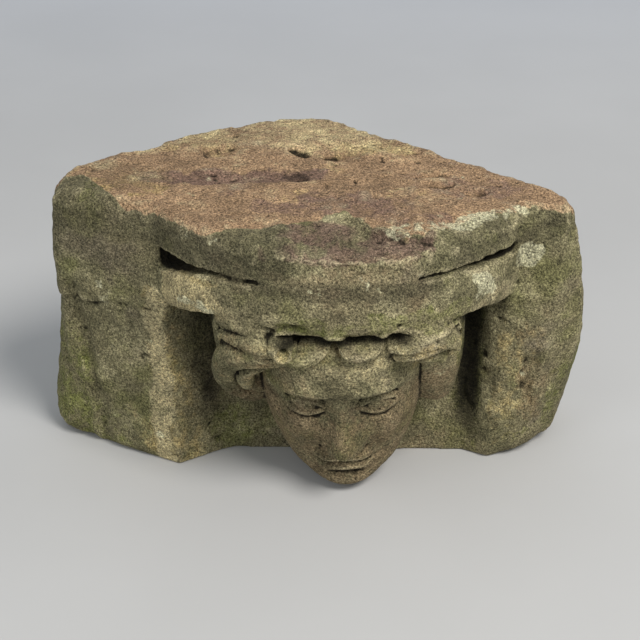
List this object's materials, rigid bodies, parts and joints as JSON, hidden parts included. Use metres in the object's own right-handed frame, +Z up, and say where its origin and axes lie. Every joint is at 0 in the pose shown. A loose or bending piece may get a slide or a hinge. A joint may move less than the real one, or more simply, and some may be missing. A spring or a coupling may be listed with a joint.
{
  "type": "stone corbel",
  "caption": "Weathered sandstone corbel: a bowed moulded canopy over a carved head between plain piers, with a flat tail to build into a wall.",
  "frame": {"origin": "centre of the flat tail face, which is built into the wall", "axes": "+Y into the wall and -Y out of it towards the viewer, +Z up to the bed, +X along the front to the viewer's right"},
  "size_m": [0.4746, 0.2822, 0.25],
  "materials": {
    "stone": "coarse weathered sandstone with moss and lichen"
  },
  "bodies": {
    "root": {"corbel": "stone"}
  },
  "joints": []
}
